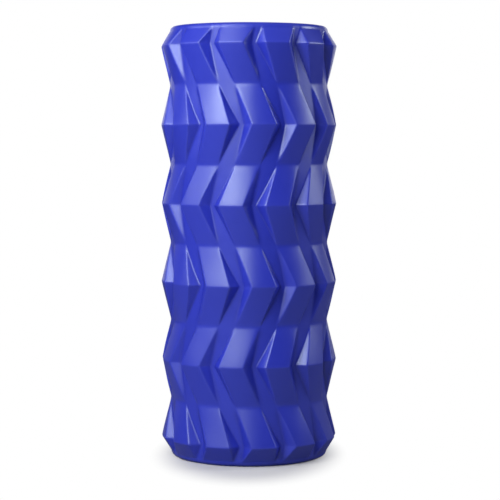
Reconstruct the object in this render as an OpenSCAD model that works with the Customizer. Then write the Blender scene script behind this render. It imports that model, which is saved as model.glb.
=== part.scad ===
// Foam roller: a moulded EVA tread sleeve bonded over a rigid hollow core tube.
// Millimetres. The roller stands on one end: +Z runs along its axis, and the origin is the
// centre of the lower end. In every valley of the tread the middle of a block faces -Y.

/* [Core tube] */
// Outside diameter of the rigid core tube
core_od = 104; // [80:0.5:130]
// Wall thickness of the core tube
core_wall = 4; // [2:0.25:8]
// Depth of the tube's ends below the ends of the sleeve
core_recess = 1; // [0.5:0.25:5]
// Chamfer on the edges of the tube
core_chamfer = 0.8; // [0.2:0.1:0.9]
// Thickness of the glue film between the tube and the sleeve
glue_film = 0.15; // [0.05:0.05:0.5]

/* [Foam sleeve] */
// Thickness of the foam under the groove floors
foam_wall = 8.25; // [6:0.05:20]
// Depth of the groove floors below the crests
tread_depth = 7.1; // [4:0.1:8]
// Chamfer where the bore of the sleeve meets its ends
bore_chamfer = 0.6; // [0.2:0.1:1]

/* [Tread rings] */
// Number of crest rings along the roller
ring_count = 6; // [2:1:8]
// Distance from one crest ring to the next
ring_pitch = 60; // [45:1:75]
// Width of the flat land along the top of each crest
crest_land = 0.8; // [0.4:0.1:3]
// Width of the flat land along the bottom of each valley
valley_land = 1.5; // [1:0.5:6]
// Height of the valley lands above the groove floors
valley_rise = 0.3; // [0.1:0.1:0.8]

/* [Tread blocks] */
// Number of blocks around the roller
block_count = 12; // [8:1:13]
// Width of a block's face, the same from crest to valley
block_face = 19; // [12:0.25:20]
// Distance that a block's side wall leans out at a crest
wall_run = 5.5; // [2.5:0.25:6]
// Angle that the blocks swing aside from a valley to a crest
block_swing = 10.8; // [3:0.1:14]

/* [Ends] */
// Distance from the last crest ring to the end of the sleeve
end_length = 15; // [12:0.5:30]
// Radius of the lip that rounds each end
lip_radius = 3.5; // [2:0.25:5]
// Share of a full row's swing that a short end row makes
end_swing_share = 0.33; // [0.1:0.01:0.5]

/* [Hidden] */
$fn = 96;

core_r = core_od / 2;
core_bore_r = core_r - core_wall;
sleeve_bore_r = core_r + glue_film;
floor_r = sleeve_bore_r + foam_wall;
valley_r = floor_r + valley_rise;
crest_r = floor_r + tread_depth;
last_ring = ring_count - 1;
roller_length = last_ring * ring_pitch + 2 * end_length;
block_pitch = 360 / block_count;

// Straight steps in the rounding of a lip
lip_steps = 6;
// The room of a groove reaches this far past the crests and past the ends
groove_clear = 3;
// and this far below the floors, which are trimmed round afterwards
groove_sink = 0.5;

// Half angles of a block about its middle: its face at a crest, the feet of its walls there,
// and its face at a valley, where the walls have run out
face_half = asin(block_face / 2 / crest_r);
foot_half = face_half + wall_run / floor_r * 180 / PI;
valley_half = asin(block_face / 2 / floor_r);

function crest_z(ring) = end_length + ring * ring_pitch;
function valley_z(ring, side) = crest_z(ring) + ring_pitch / 2 + side * valley_land / 2;
function swing(ring) = (ring % 2 == 0 ? 1 : -1) * block_swing;
function blend(a, b, share) = a + (b - a) * share;

// Direction at an angle from -Y towards +X
function toward(angle) = [sin(angle), -cos(angle)];

// ---- Outline of the sleeve's half section, from the lower end up ----

function lip(z, side) = [for (step = [0 : lip_steps])
    let (turn = 90 * (side > 0 ? step : lip_steps - step) / lip_steps)
    [valley_r - lip_radius * (1 - sin(turn)), z + side * lip_radius * (1 - cos(turn))]];

function crest(ring) = [for (side = [-1, 1]) [crest_r, crest_z(ring) + side * crest_land / 2]];

tread_outline = concat(
    lip(0, 1),
    [for (ring = [0 : last_ring - 1]) each [
        each crest(ring),
        [valley_r, valley_z(ring, -1)],
        [valley_r, valley_z(ring, 1)]]],
    crest(last_ring),
    lip(roller_length, -1));

// ---- Sections of one groove, from the lower end up ----
// A section is a height, the angles of the feet of the two walls, the crest ring that the
// walls lean like, and their rise. Along half a row a wall leans the same way, so it is flat.

function crest_section(ring) = [
    crest_z(ring), swing(ring) + foot_half, swing(ring) + block_pitch - foot_half,
    ring, tread_depth];

// The walls run out within the land, half way between its edge and its middle
function valley_section(ring, side) = [
    valley_z(ring, side / 2), valley_half, block_pitch - valley_half,
    side < 0 ? ring : ring + 1, valley_rise];

// In an end row the walls run out where the lip starts, and the groove goes on past the end
function end_section(ring, z) = let (full = crest_section(ring)) [
    z, blend(full[1], valley_half, end_swing_share),
    blend(full[2], block_pitch - valley_half, end_swing_share), ring, valley_rise];

groove_sections = concat(
    [end_section(0, -groove_clear), end_section(0, lip_radius / 2)],
    [for (ring = [0 : last_ring - 1]) each [
        crest_section(ring), valley_section(ring, -1), valley_section(ring, 1)]],
    [crest_section(last_ring)],
    [end_section(last_ring, roller_length - lip_radius / 2),
     end_section(last_ring, roller_length + groove_clear)]);

// Lean of a ring's wall, outward per millimetre of depth, from its foot to its face's edge
function lean(ring, side) =
    let (foot = swing(ring) + (side > 0 ? block_pitch - foot_half : foot_half),
         edge = swing(ring) + (side > 0 ? block_pitch - face_half : face_half))
    (crest_r * toward(edge) - floor_r * toward(foot)) / tread_depth;

// The four corners of a section: left foot, left top, right top, right foot
function corner(section, side, rise) =
    let (spot = floor_r * toward(section[side > 0 ? 2 : 1]) + rise * lean(section[3], side))
    [spot.x, spot.y, section[0]];
function corners(section) = let (top = section[4] + groove_clear) [
    corner(section, -1, -groove_sink), corner(section, -1, top),
    corner(section, 1, top), corner(section, 1, -groove_sink)];

// The room of one zigzag groove between two columns of blocks
module groove_room() {
    last = len(groove_sections) - 1;
    points = [for (section = groove_sections) each corners(section)];
    sides = [for (i = [0 : last - 1], k = [0 : 3])
        let (low = 4 * i, high = low + 4, next = (k + 1) % 4)
        each [[low + k, high + k, high + next], [low + k, high + next, low + next]]];
    lower_end = [0, 1, 2, 3];
    upper_end = [for (k = [3, 2, 1, 0]) 4 * last + k];
    polyhedron(points, concat(sides, [lower_end, upper_end]));
}

// The grooves between all the blocks, down to the round floor
module grooves() {
    // The trimming cylinder is longer than the grooves at both ends
    reach = 2 * groove_clear;
    difference() {
        for (block = [0 : block_count - 1]) rotate(block * block_pitch) groove_room();
        translate([0, 0, -reach]) cylinder(r = floor_r, h = roller_length + 2 * reach);
    }
}

// ---- Pieces ----

// Thick-walled EVA foam sleeve, moulded in one piece with its tread
module foam_sleeve() {
    bore_r = sleeve_bore_r;
    bore_outline = [
        [bore_r + bore_chamfer, roller_length], [bore_r, roller_length - bore_chamfer],
        [bore_r, bore_chamfer], [bore_r + bore_chamfer, 0]];
    color("royalblue") difference() {
        rotate_extrude() polygon(concat(tread_outline, bore_outline));
        grooves();
    }
}

// Rigid plastic tube that carries the load, open right through
module core_tube() {
    low = core_recess;
    high = roller_length - core_recess;
    c = core_chamfer;
    color("dimgray") rotate_extrude() polygon([
        [core_bore_r + c, low], [core_r - c, low], [core_r, low + c],
        [core_r, high - c], [core_r - c, high], [core_bore_r + c, high],
        [core_bore_r, high - c], [core_bore_r, low + c]]);
}

core_tube();
foam_sleeve();
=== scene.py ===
# Foam roller: a blue moulded EVA tread sleeve bonded over a black hollow core tube.
# Metres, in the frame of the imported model: +Z is the roller's axis, its lower end is at z = 0.
import math

import bpy
import numpy as np
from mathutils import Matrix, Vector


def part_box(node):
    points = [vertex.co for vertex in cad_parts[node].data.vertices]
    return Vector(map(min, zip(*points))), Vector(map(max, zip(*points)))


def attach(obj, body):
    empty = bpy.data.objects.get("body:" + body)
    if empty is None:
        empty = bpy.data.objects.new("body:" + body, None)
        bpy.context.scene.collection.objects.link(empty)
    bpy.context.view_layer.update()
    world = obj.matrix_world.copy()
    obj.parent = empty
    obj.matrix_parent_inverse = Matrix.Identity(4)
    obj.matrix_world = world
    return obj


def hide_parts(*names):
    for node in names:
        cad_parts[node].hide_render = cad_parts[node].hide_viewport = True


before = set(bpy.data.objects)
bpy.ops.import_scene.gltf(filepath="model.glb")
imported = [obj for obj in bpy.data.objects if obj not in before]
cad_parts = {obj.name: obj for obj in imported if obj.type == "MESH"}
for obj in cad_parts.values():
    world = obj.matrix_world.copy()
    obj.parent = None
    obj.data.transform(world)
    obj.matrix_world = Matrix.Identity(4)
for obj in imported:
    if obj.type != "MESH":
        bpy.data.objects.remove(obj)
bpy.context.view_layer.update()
scene = bpy.context.scene

# ---- Camera ----
# A long lens at table distance, a little above the middle of the roller and pitched down.
camera_distance = 1.3524
camera_height = 0.24582
camera_side = math.radians(0.90)
camera_pitch = math.radians(3.699)
camera_turn = math.radians(0.035)
camera_data = bpy.data.cameras.new("camera")
camera_data.sensor_width = 36.0
camera_data.lens = 126.08
camera_data.clip_end = 50.0
camera = bpy.data.objects.new("camera", camera_data)
camera.location = (camera_distance * math.sin(camera_side),
                   -camera_distance * math.cos(camera_side), camera_height)
camera.rotation_euler = (math.radians(90) - camera_pitch, 0, camera_side - camera_turn)
scene.collection.objects.link(camera)
scene.camera = camera

# ---- Foam sleeve ----
# One piece of EVA foam, moulded with a tread of six crest rings and twelve zigzag columns of
# blocks. The mould leaves a satin skin and rounds every edge by about a millimetre. It is
# bonded over the core tube, and its ends are skived flat inside a rounded lip.
low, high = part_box("foam_sleeve")
roller_length = high.z - low.z
bore_radius = 0.05215
bore_chamfer = 0.0006
floor_radius = 0.0604
valley_radius = 0.0605
crest_radius = 0.0675
ring_count = 6
ring_pitch = 0.060
end_length = 0.015
crest_land = 0.0008
valley_land = 0.0012
lip_radius = 0.0035
block_count = 12
block_pitch = 2 * math.pi / block_count
block_face = 0.019
wall_run = 0.0055
block_swing = math.radians(10.8)
end_swing_share = 0.33
# Roundings of the walls' edges and feet, of the crests, and of the faces into the valleys
edge_blend = 0.0009
ridge_blend = 0.0005
land_blend = 0.0004
# Walls lower than full_wall spread into the floor, by all of run_out at low_wall
run_out = 0.0009
low_wall = 0.0004
full_wall = 0.0026
skin_swell = 0.00010


def soft_min(a, b, k):
    """The lesser of a and b, rounded where they are closer than k: min - k/4 (1 - |a-b|/k)^2."""
    near = np.maximum(k - np.abs(a - b), 0) / k
    return np.minimum(a, b) - near * near * k / 4


def soft_max(a, b, k):
    """The greater of a and b, rounded where they are closer than k."""
    return -soft_min(-a, -b, k)


def smooth_step(value, start, end):
    """0 up to start and 1 from end on, with a smooth s-curve between: u^2 (3 - 2u)."""
    u = np.clip((value - start) / (end - start), 0, 1)
    return u * u * (3 - 2 * u)


def closeness(a, b, reach):
    """1 where a and b are equal, falling smoothly to 0 where they are reach apart."""
    return smooth_step(1 - np.abs(a - b) / reach, 0, 1)


def closed_grid_faces(rows, columns):
    """Quads of a grid that closes round both ways: each joins a row to the next one and a
    column to the next one, and the last of each to the first."""
    row, column = np.meshgrid(np.arange(rows), np.arange(columns), indexing="ij")
    up, right = (row + 1) % rows, (column + 1) % columns
    quads = np.stack([row * columns + column, row * columns + right,
                      up * columns + right, up * columns + column], axis=-1)
    return quads.reshape(-1, 4)


def round_points(radius, turn, height):
    """Points at a radius and a height, turned about the axis from -Y towards +X."""
    across = np.broadcast_to(radius * np.sin(turn), np.broadcast_shapes(
        np.shape(radius), np.shape(turn)))
    return np.stack([across, -radius * np.cos(turn),
                     np.broadcast_to(height[:, None], across.shape)], axis=-1).reshape(-1, 3)


def mesh_piece(name, points, quads):
    """A smooth-shaded object at the origin from an array of points and an array of quads."""
    mesh = bpy.data.meshes.new(name)
    mesh.vertices.add(len(points))
    mesh.vertices.foreach_set("co", points.astype(np.float32).ravel())
    mesh.loops.add(quads.size)
    mesh.loops.foreach_set("vertex_index", quads.astype(np.int32).ravel())
    mesh.polygons.add(len(quads))
    mesh.polygons.foreach_set("loop_start", np.arange(0, quads.size, 4, dtype=np.int32))
    mesh.polygons.foreach_set("use_smooth", np.ones(len(quads), dtype=bool))
    mesh.update(calc_edges=True)
    mesh.validate()
    piece = bpy.data.objects.new(name, mesh)
    scene.collection.objects.link(piece)
    return piece


def wave_noise(angle, height, seed, waves=9, longest=0.11):
    """Gentle unevenness between about -1 and 1: a sum of sines that run round the roller a
    whole number of times and along it, with seeded directions and phases."""
    draw = np.random.default_rng(seed)
    turns = draw.integers(2, 15, waves)
    along = draw.uniform(-1, 1, waves) * 2 * math.pi / longest * 4
    phase = draw.uniform(0, 2 * math.pi, waves)
    parts = [np.sin(t * angle + a * height + p) for t, a, p in zip(turns, along, phase)]
    return sum(parts) / math.sqrt(waves)


def tread_heights():
    """Heights of the rows up the tread: close together over the crests and in the valleys,
    where the surface turns, and wider apart on the flats between."""
    near_ridge = np.array([0, 0.25, 0.55, 0.95, 1.5, 2.3, 3.6]) / 1000
    flat = np.array([6.2, 9.2, 12.4, 15.6, 18.8, 21.6, 23.8]) / 1000
    near_valley = np.array([25.4, 26.6, 27.5, 28.3, 29.1, 30.0]) / 1000
    half = np.concatenate([near_ridge, flat, near_valley])
    end_half = np.array([0, 0.25, 0.55, 0.95, 1.5, 2.3, 3.5, 4.9, 6.4, 7.9, 9.2, 10.2,
                         10.9, 11.5]) / 1000
    crests = end_length + ring_pitch * np.arange(ring_count)
    heights = [crests[0] - end_half[::-1], crests[-1] + end_half]
    for crest in crests[:-1]:
        heights += [crest + half, crest + ring_pitch - half[::-1]]
    return np.unique(np.round(np.concatenate(heights), 7))


def block_rows():
    """Row by row: the height, the distance from the nearest crest ring, whether the row is in
    an end, the angle that the blocks lean to, the distance with the crest rounded off, and the
    radius of the blocks' faces, a cone that falls evenly from the crest to the valley."""
    z = tread_heights()
    ring = np.clip(np.round((z - end_length) / ring_pitch), 0, ring_count - 1).astype(int)
    from_crest = z - end_length - ring * ring_pitch
    in_end = ((ring == 0) & (from_crest < 0)) | ((ring == ring_count - 1) & (from_crest > 0))
    lean = np.where(ring % 2 == 0, 1, -1) * block_swing
    rounded = np.sqrt(from_crest * from_crest + ridge_blend ** 2)
    face_reach = np.where(in_end, end_length - lip_radius, (ring_pitch - valley_land) / 2)
    slope = (crest_radius - valley_radius) / (face_reach - crest_land / 2)
    cone = crest_radius - slope * (rounded - crest_land / 2)
    face = soft_max(cone, np.full_like(cone, valley_radius), land_blend)
    return z, from_crest, in_end, lean, rounded, face


def wall_plane(in_end, lean, rounded, side):
    """Flat plane of the walls on one side of the blocks: the angle of its normal and, row by
    row, its distance from the axis, which goes evenly from the crest line to the valley."""
    face_half = math.asin(block_face / 2 / crest_radius)
    foot_half = face_half + wall_run / floor_radius
    valley_half = math.asin(block_face / 2 / floor_radius)
    foot = lean + side * foot_half
    edge = lean + side * face_half
    end_foot = foot + (side * valley_half - foot) * end_swing_share
    valley_foot = np.where(in_end, end_foot, side * valley_half)
    foot_x, foot_y = floor_radius * np.sin(foot), floor_radius * np.cos(foot)
    run_x = crest_radius * np.sin(edge) - foot_x
    run_y = crest_radius * np.cos(edge) - foot_y
    normal = np.arctan2(side * run_y, -side * run_x)
    at_crest = foot_x * np.sin(normal) + foot_y * np.cos(normal)
    at_valley = floor_radius * np.cos(valley_foot - normal)
    reach = np.where(in_end, end_length - lip_radius / 2, ring_pitch / 2 - valley_land / 4)
    share = np.minimum(rounded, reach) / reach
    return normal, at_crest + (at_valley - at_crest) * share


def wall_angle(plane, radius, side):
    """Angle at which a wall's plane meets a radius: normal - side * arccos(distance/radius)."""
    normal, offset = plane
    return normal - side * np.arccos(np.clip(offset / radius, -1, 1))


def tread_columns(face, left, right):
    """Angles of the columns, row by row, from the middle of one groove to the middle of the
    next, packed closer at the feet and edges of the walls."""
    wall_steps = np.array([0.0, 0.1, 0.22, 0.36, 0.5, 0.64, 0.78, 0.9])
    foot_steps = np.array([0.0018, 0.0009, 0.00045]) / floor_radius
    foot_most = np.array([0.66, 0.4, 0.2])
    edge_steps = np.array([0, 0.0004]) / floor_radius
    face_start = 0.0009 / floor_radius
    face_steps = np.linspace(0, 1, 9)
    floor_steps = np.array([0.0, 0.5])
    left_foot, left_edge = (wall_angle(left, radius, -1) for radius in (floor_radius, face))
    right_foot, right_edge = (wall_angle(right, radius, 1) for radius in (floor_radius, face))
    groove_mid = (right_foot - block_pitch + left_foot) / 2
    gap = left_foot - groove_mid
    foot_near = np.minimum(foot_steps, gap[:, None] * foot_most)
    floor_span = (gap - foot_near[:, 0])[:, None] * floor_steps
    left_floor = groove_mid[:, None] + floor_span
    right_floor = groove_mid[:, None] + block_pitch - floor_span
    left_wall = left_foot[:, None] + (left_edge - left_foot)[:, None] * wall_steps
    right_wall = right_foot[:, None] + (right_edge - right_foot)[:, None] * wall_steps
    inner_left = left_edge + face_start
    inner_right = right_edge - face_start
    middle = inner_left[:, None] + (inner_right - inner_left)[:, None] * face_steps
    return np.concatenate([
        left_floor, left_foot[:, None] - foot_near, left_wall, left_edge[:, None] + edge_steps,
        middle, right_edge[:, None] - edge_steps[::-1], right_wall[:, ::-1],
        right_foot[:, None] + foot_near[:, ::-1], right_floor[:, :0:-1]], axis=1)


def tread_surface():
    """Grid of radius against angle and height. A block is the lesser of its face and its two
    side walls, and the tread is the greater of block and groove floor, with rounded edges. Two
    more grids mark the edges and crests that are painted paler as a highlight, and the feet that are
    painted darker as shade."""
    z, from_crest, in_end, lean, rounded, face = block_rows()
    left = wall_plane(in_end, lean, rounded, -1)
    right = wall_plane(in_end, lean, rounded, 1)
    angle = tread_columns(face, left, right)
    # A plane's radius is its distance over the cosine of the angle from its normal, up to 83 degrees
    steepest = 1.45
    left_radius, right_radius = (
        offset[:, None] / np.cos(np.clip(angle - normal[:, None], -steepest, steepest))
        for normal, offset in (left, right))
    walls = np.minimum(left_radius, right_radius) - floor_radius
    tall = np.broadcast_to((face - floor_radius)[:, None], walls.shape)
    spread = run_out * (1 - smooth_step(tall, low_wall, full_wall))
    share = (walls + spread) / (tall + 2 * spread)
    rounding = np.minimum(edge_blend / (tall + 2 * spread), 0.5)
    share = soft_max(share, np.zeros_like(share), rounding)
    share = soft_min(share, np.ones_like(share), rounding)
    tread = floor_radius + tall * share
    # The marks fade out where a block is lower than this
    shallow = 0.0015
    fade = np.clip(tall / shallow, 0, 1)
    on_block = smooth_step(tall * share, 0.0, 0.001)
    # Edges and crests, where the blue is painted paler as a highlight
    edge = closeness(tall, walls, 0.0014) * fade
    crest = np.exp(-(from_crest / 0.0011) ** 2)[:, None]
    ridge = np.maximum(edge, crest) * on_block
    # Feet of the walls, where the blue is painted darker as shade
    hollow = closeness(walls, np.zeros_like(walls), 0.0030) * fade
    return z, angle, tread, ridge, hollow


z, angle, tread, ridge, hollow = tread_surface()
angle = (angle[:, None, :] + (np.arange(block_count) * block_pitch)[None, :, None])
angle = angle.reshape(len(z), -1)
tread = np.tile(tread, (1, block_count))
uneven = skin_swell * wave_noise(angle, z[:, None], 11)
tread = tread + uneven - skin_swell

# The lip rounds the tread into each skived end, and the bore runs back through the middle
lip_turn = np.radians([18, 36, 54, 72, 90])
lip_in = lip_radius * (1 - np.cos(lip_turn))
lip_up = lip_radius * (1 - np.sin(lip_turn))
lower_lip = tread[:1] - lip_in[::-1, None]
upper_lip = tread[-1:] - lip_in[:, None]
mouth = bore_radius + bore_chamfer
end_share = np.array([0.25, 0.5, 0.75, 1.0])[:, None]
upper_end = upper_lip[-1:] + (mouth - upper_lip[-1:]) * end_share
lower_end = lower_lip[:1] + (mouth - lower_lip[:1]) * end_share
bore_z = np.linspace(roller_length - bore_chamfer, bore_chamfer, 12)
bore = np.full((len(bore_z), angle.shape[1]), bore_radius)
radius = np.concatenate([lower_lip, tread, upper_lip, upper_end, bore, lower_end[::-1]])
height = np.concatenate([lip_up[::-1], z, roller_length - lip_up,
                         np.full(len(end_share), roller_length), bore_z,
                         np.zeros(len(end_share))])
# The columns turn back through the bore from their angles at the top to those at the bottom
first_angle, last_angle = angle[:1], angle[-1:]
turning_back = np.linspace(0, 1, len(bore_z))[:, None]
turn = np.concatenate([np.repeat(first_angle, len(lip_turn), 0), angle,
                       np.repeat(last_angle, len(lip_turn) + len(end_share), 0),
                       last_angle + (first_angle - last_angle) * turning_back,
                       np.repeat(first_angle, len(end_share), 0)])
sleeve = mesh_piece("sleeve", round_points(radius, turn, height),
                    closed_grid_faces(*radius.shape))


def mark(piece, name, rows):
    """Keeps a number for every vertex of a piece, which its material reads by name."""
    kept = piece.data.attributes.new(name, "FLOAT", "POINT")
    kept.data.foreach_set("value", np.ascontiguousarray(rows, dtype=np.float32).ravel())


tread_rows = slice(len(lip_turn), len(lip_turn) + len(z))
ridge_rows, hollow_rows, skived_rows = np.zeros((3, *radius.shape))
ridge_rows[tread_rows] = np.tile(ridge, (1, block_count))
hollow_rows[tread_rows] = np.tile(hollow, (1, block_count))
skived_rows[tread_rows.stop + len(lip_turn):] = 1
mark(sleeve, "ridge", ridge_rows)
mark(sleeve, "hollow", hollow_rows)
mark(sleeve, "skived", skived_rows)


class Value:
    """A socket of a finish's nodes that takes Python's operators: each adds a Math node."""

    def __init__(self, finish, socket):
        self.finish = finish
        self.socket = socket

    def math(self, operation, first, second, **settings):
        """Adds a Math node on two values or numbers."""
        return self.finish.add("ShaderNodeMath", dict(operation=operation, **settings),
                               [first, second])

    def __add__(self, other):
        return self.math("ADD", self, other)

    def __radd__(self, other):
        return self.math("ADD", self, other)

    def __mul__(self, other):
        return self.math("MULTIPLY", self, other)

    def __rmul__(self, other):
        return self.math("MULTIPLY", self, other)

    def __rsub__(self, other):
        return self.math("SUBTRACT", other, self)

    def clamp(self):
        """The value kept between 0 and 1."""
        return self.math("ADD", self, 0.0, use_clamp=True)


class Finish:
    """A new material, its Principled shader, and one method that adds any other node."""

    def __init__(self, name, **constants):
        self.material = bpy.data.materials.new(name)
        self.material.use_nodes = True
        self.tree = self.material.node_tree
        self.shader = self.tree.nodes["Principled BSDF"]
        for socket, value in constants.items():
            self.shader.inputs[socket.replace("_", " ")].default_value = value

    def add(self, kind, settings=None, inputs=(), output=0):
        """Adds a node: its settings first, then its inputs by place or by name."""
        node = self.tree.nodes.new(kind)
        for key, value in (settings or {}).items():
            setattr(node, key, value)
        pairs = inputs.items() if isinstance(inputs, dict) else enumerate(inputs)
        for key, value in pairs:
            self.link(value, node.inputs[key])
        return Value(self, node.outputs[output])

    def link(self, value, socket):
        """Joins a value to a socket, or sets a plain number, colour or vector on it."""
        if isinstance(value, Value):
            self.tree.links.new(value.socket, socket)
        else:
            socket.default_value = value

    def set(self, socket, value):
        """Joins or sets one of the shader's own sockets."""
        self.link(value, self.shader.inputs[socket])


def place_on(finish):
    """The point's own place on the piece, in metres."""
    return finish.add("ShaderNodeTexCoord", output="Object")


def noise(finish, place, size, detail=2.0, rough=0.5):
    """Noise between 0 and 1 whose lumps are about size metres across."""
    return finish.add("ShaderNodeTexNoise", inputs={
        "Vector": place, "Scale": 1 / size, "Detail": detail, "Roughness": rough})


def mix(finish, share, a, b):
    """Colour a where share is 0 and colour b where it is 1."""
    return finish.add("ShaderNodeMix", {"data_type": "RGBA"}, {0: share, 6: a, 7: b}, output=2)


# The skin is a clear royal blue with a faint mottle. Its edges and crests are painted paler as a
# highlight, and the feet of the blocks painted deeper as shade. The skived ends show the foam's
# open cells and are duller.
dark_blue = (0.030, 0.047, 0.62, 1)
light_blue = (0.036, 0.056, 0.70, 1)
# Paler blue painted on the edges and crests as a highlight
highlight_blue = (0.06, 0.08, 0.72, 1)
# Deeper blue painted at the feet of the blocks as shade
shade_blue = (0.020, 0.030, 0.46, 1)
skived_blue = (0.05, 0.07, 0.64, 1)
cloud_size = 0.045
mottle_size = 0.007
grain_size = 0.00045
grain_depth = 0.00002
cells_per_metre = 900.0
cell_depth = 0.00015
eva = Finish("eva_foam", Specular_IOR_Level=1.0, Specular_Tint=(0.88, 1.0, 1.0, 1))
place = place_on(eva)
ridge_here, hollow_here, skived_here = (
    eva.add("ShaderNodeAttribute", {"attribute_name": name}, output=2)
    for name in ("ridge", "hollow", "skived"))
clouds = noise(eva, place, cloud_size)
mottle = noise(eva, place, mottle_size, 3.0)
skin_grain = noise(eva, place, grain_size)
pores = eva.add("ShaderNodeTexVoronoi", inputs={"Vector": place, "Scale": cells_per_metre})
# Painted highlight on the edges and crests; the same mask also makes them a little rougher
rub_and_highlight = (ridge_here * (0.35 + 0.9 * mottle)).clamp()
blue = mix(eva, 0.5 * clouds + 0.5 * mottle, dark_blue, light_blue)
blue = mix(eva, 0.35 * rub_and_highlight, blue, highlight_blue)
# Painted shade at the feet of the blocks, where the walls meet the groove floors
blue = mix(eva, 0.50 * hollow_here, blue, shade_blue)
blue = mix(eva, 0.6 * skived_here, blue, skived_blue)
eva.set("Base Color", blue)
eva.set("Roughness", 0.27 + 0.10 * mottle + 0.04 * clouds + 0.05 * rub_and_highlight + 0.35 * skived_here)
skin = eva.add("ShaderNodeBump", inputs={"Strength": 0.5, "Distance": grain_depth,
                                         "Height": skin_grain})
cells = eva.add("ShaderNodeBump", inputs={"Strength": 0.8, "Distance": cell_depth,
                                          "Height": pores * skived_here, "Normal": skin})
eva.set("Normal", cells)
sleeve.data.materials.append(eva.material)
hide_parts("foam_sleeve")
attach(sleeve, "root")

# ---- Core tube ----
# A rigid black plastic tube, extruded and cut to length, open right through. Its ends stop a
# millimetre inside the sleeve's, and their edges are rounded over.
tube_outer = 0.052
tube_inner = 0.048
tube_recess = 0.001
tube_edge = 0.0008
tube_columns = 192
edge_turn = np.radians(np.linspace(0, 90, 6))
tube_low, tube_high = tube_recess, roller_length - tube_recess
quarter_in = tube_edge * (1 - np.sin(edge_turn))
quarter_up = tube_edge * (1 - np.cos(edge_turn))
outline_r = np.concatenate([tube_outer - quarter_up, tube_inner + quarter_up[::-1],
                            tube_inner + quarter_up, tube_outer - quarter_up[::-1]])
outline_z = np.concatenate([tube_high - quarter_in, tube_high - quarter_in[::-1],
                            tube_low + quarter_in, tube_low + quarter_in[::-1]])
around = np.arange(tube_columns) * 2 * math.pi / tube_columns
tube = mesh_piece("tube", round_points(outline_r[:, None], around, outline_z),
                  closed_grid_faces(len(outline_z), tube_columns))

# Satin black, with lines drawn along it by the extruder's die, and scuffs from handling
dark_black = (0.028, 0.029, 0.033, 1)
light_black = (0.044, 0.045, 0.049, 1)
line_width = 0.0011
scuff_size = 0.012
pebble_size = 0.0004
line_depth = 0.00006
plastic = Finish("core_plastic")
place = place_on(plastic)
drawn = plastic.add("ShaderNodeVectorMath", {"operation": "MULTIPLY"}, [place, (1.0, 1.0, 0.012)])
draw_lines = noise(plastic, drawn, line_width, 3.0, 0.6)
scuffs = noise(plastic, place, scuff_size, 4.0, 0.6)
pebble = noise(plastic, place, pebble_size)
plastic.set("Base Color", mix(plastic, 0.6 * scuffs + 0.4 * draw_lines, dark_black, light_black))
plastic.set("Roughness", 0.34 + 0.16 * draw_lines + 0.10 * scuffs)
plastic.set("Normal", plastic.add("ShaderNodeBump", inputs={
    "Strength": 0.6, "Distance": line_depth, "Height": 0.8 * draw_lines + 0.2 * pebble}))
tube.data.materials.append(plastic.material)
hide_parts("core_tube")
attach(tube, "root")

# ---- Floor ----
# A sheet of matt pale paper under the roller. Away from the roller it is simply white to the
# camera, and near it it keeps the roller's soft shadow. It lights the roller as a grey one.
floor_half = 6
grey_paper = (0.3, 0.3, 0.3, 1)
white_paper = (0.8, 0.8, 0.8, 1)
shadow_start = 0.045
shadow_end = 0.078
shadow_depth_share = 0.55


def ramp(finish, value, start, end):
    """0 where value is start and 1 where it is end, with a smooth s-curve between."""
    return finish.add("ShaderNodeMapRange", {"interpolation_type": "SMOOTHSTEP"},
                      [value, start, end, 0.0, 1.0])


floor_mesh = bpy.data.meshes.new("floor")
floor_mesh.from_pydata([(x * floor_half, y * floor_half, 0)
                        for x, y in ((-1, -1), (1, -1), (1, 1), (-1, 1))], [], [(0, 1, 2, 3)])
floor = bpy.data.objects.new("floor", floor_mesh)
scene.collection.objects.link(floor)
paper = Finish("paper", Roughness=0.9, Specular_IOR_Level=0.0)
seen = paper.add("ShaderNodeLightPath")
paper.set("Base Color", mix(paper, seen, grey_paper, white_paper))
spread = paper.add("ShaderNodeVectorMath", {"operation": "MULTIPLY"},
                   [place_on(paper), (1.0, shadow_depth_share, 0.0)])
reach = paper.add("ShaderNodeVectorMath", {"operation": "LENGTH"}, [spread], output=1)
away = ramp(paper, reach, shadow_start, shadow_end)
white = paper.add("ShaderNodeEmission")
surface = paper.add("ShaderNodeMixShader", inputs=[
    away * seen, Value(paper, paper.shader.outputs[0]), white])
paper.link(surface, paper.tree.nodes["Material Output"].inputs[0])
floor.data.materials.append(paper.material)


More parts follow.
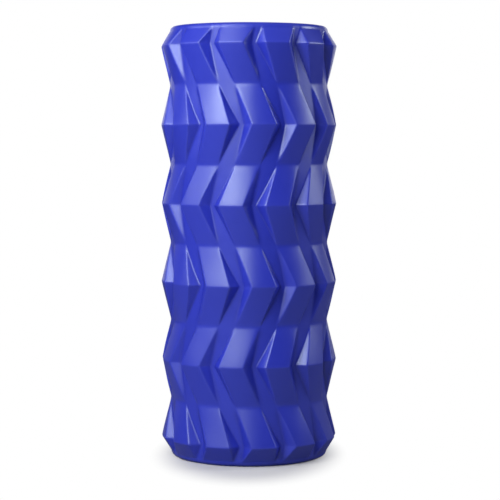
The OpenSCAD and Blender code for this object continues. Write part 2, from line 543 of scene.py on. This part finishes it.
# ---- Lights ----
# A wide softbox on the left, in five parts that are brightest towards the top, a panel beyond
# it and one under it, one overhead, a panel and a strip on the right, and a white wall behind
# that rims both sides. The camera sees white all round.
def softbox(name, left, right, low, high, radiance, distance=0.9, aim=0.2):
    """A flat lamp facing the roller that covers the angles left to right, from -Y towards +X,
    and low to high, above level, seen from a height on the axis. Radiance 1 looks white."""
    data = bpy.data.lights.new(name, "AREA")
    data.shape = "RECTANGLE"
    side, up = math.radians(left + right) / 2, math.radians(low + high) / 2
    data.size = distance * math.cos(up) * math.radians(right - left)
    data.size_y = distance * math.radians(high - low)
    data.energy = radiance * math.pi * data.size * data.size_y
    lamp = bpy.data.objects.new(name, data)
    lamp.location = (distance * math.cos(up) * math.sin(side),
                     -distance * math.cos(up) * math.cos(side), aim + distance * math.sin(up))
    lamp.rotation_euler = (math.radians(90) - up, 0, side)
    scene.collection.objects.link(lamp)


key_aim = 0.22
key_distance = 0.75
core_distance = 0.74
softbox("key_left", -60, -30, 12, 28, 3.0, key_distance, key_aim)
softbox("key_middle", -30, -15, 12, 28, 7.2, key_distance, key_aim)
softbox("key_right", -15, 0, 12, 36, 4.1, key_distance, key_aim)
softbox("key_top", -60, -15, 28, 36, 3.8, key_distance, key_aim)
softbox("key_core", -45, -30, 28, 36, 13.5, core_distance, key_aim)
softbox("left_panel", -95, -60, 8, 40, 1.6)
softbox("low_panel", -60, 0, 0, 10, 0.8)
softbox("overhead", -60, -15, 48, 66, 2.4)
softbox("right_panel", 75, 115, 4, 24, 1.8)
softbox("right_strip", 90, 105, 24, 34, 13.0)

world = bpy.data.worlds.new("world")
scene.world = world
world.use_nodes = True


class Surroundings(Finish):
    """The world's nodes, added to by the same one method as a material's."""

    def __init__(self, tree):
        self.tree = tree
        self.shader = tree.nodes["Background"]


faint_wall = 0.24
bright_wall = 1.05
ceiling = 0.16
room = Surroundings(world.node_tree)
room.set("Color", (1, 1, 1, 1))
direction = room.add("ShaderNodeTexCoord")
behind, above = (room.add("ShaderNodeSeparateXYZ", inputs=[direction], output=axis)
                 for axis in (1, 2))
wall = faint_wall * ramp(room, behind, 0.3, 0.5) + bright_wall * ramp(room, behind, 0.8, 0.93)
glow = wall * (1 - ramp(room, above, 0.2, 0.4)) + ceiling * ramp(room, above, 0.5, 0.8)
camera_ray = room.add("ShaderNodeLightPath")
room.set("Strength", camera_ray + (1 - camera_ray) * glow)

scene.view_settings.view_transform = "Standard"
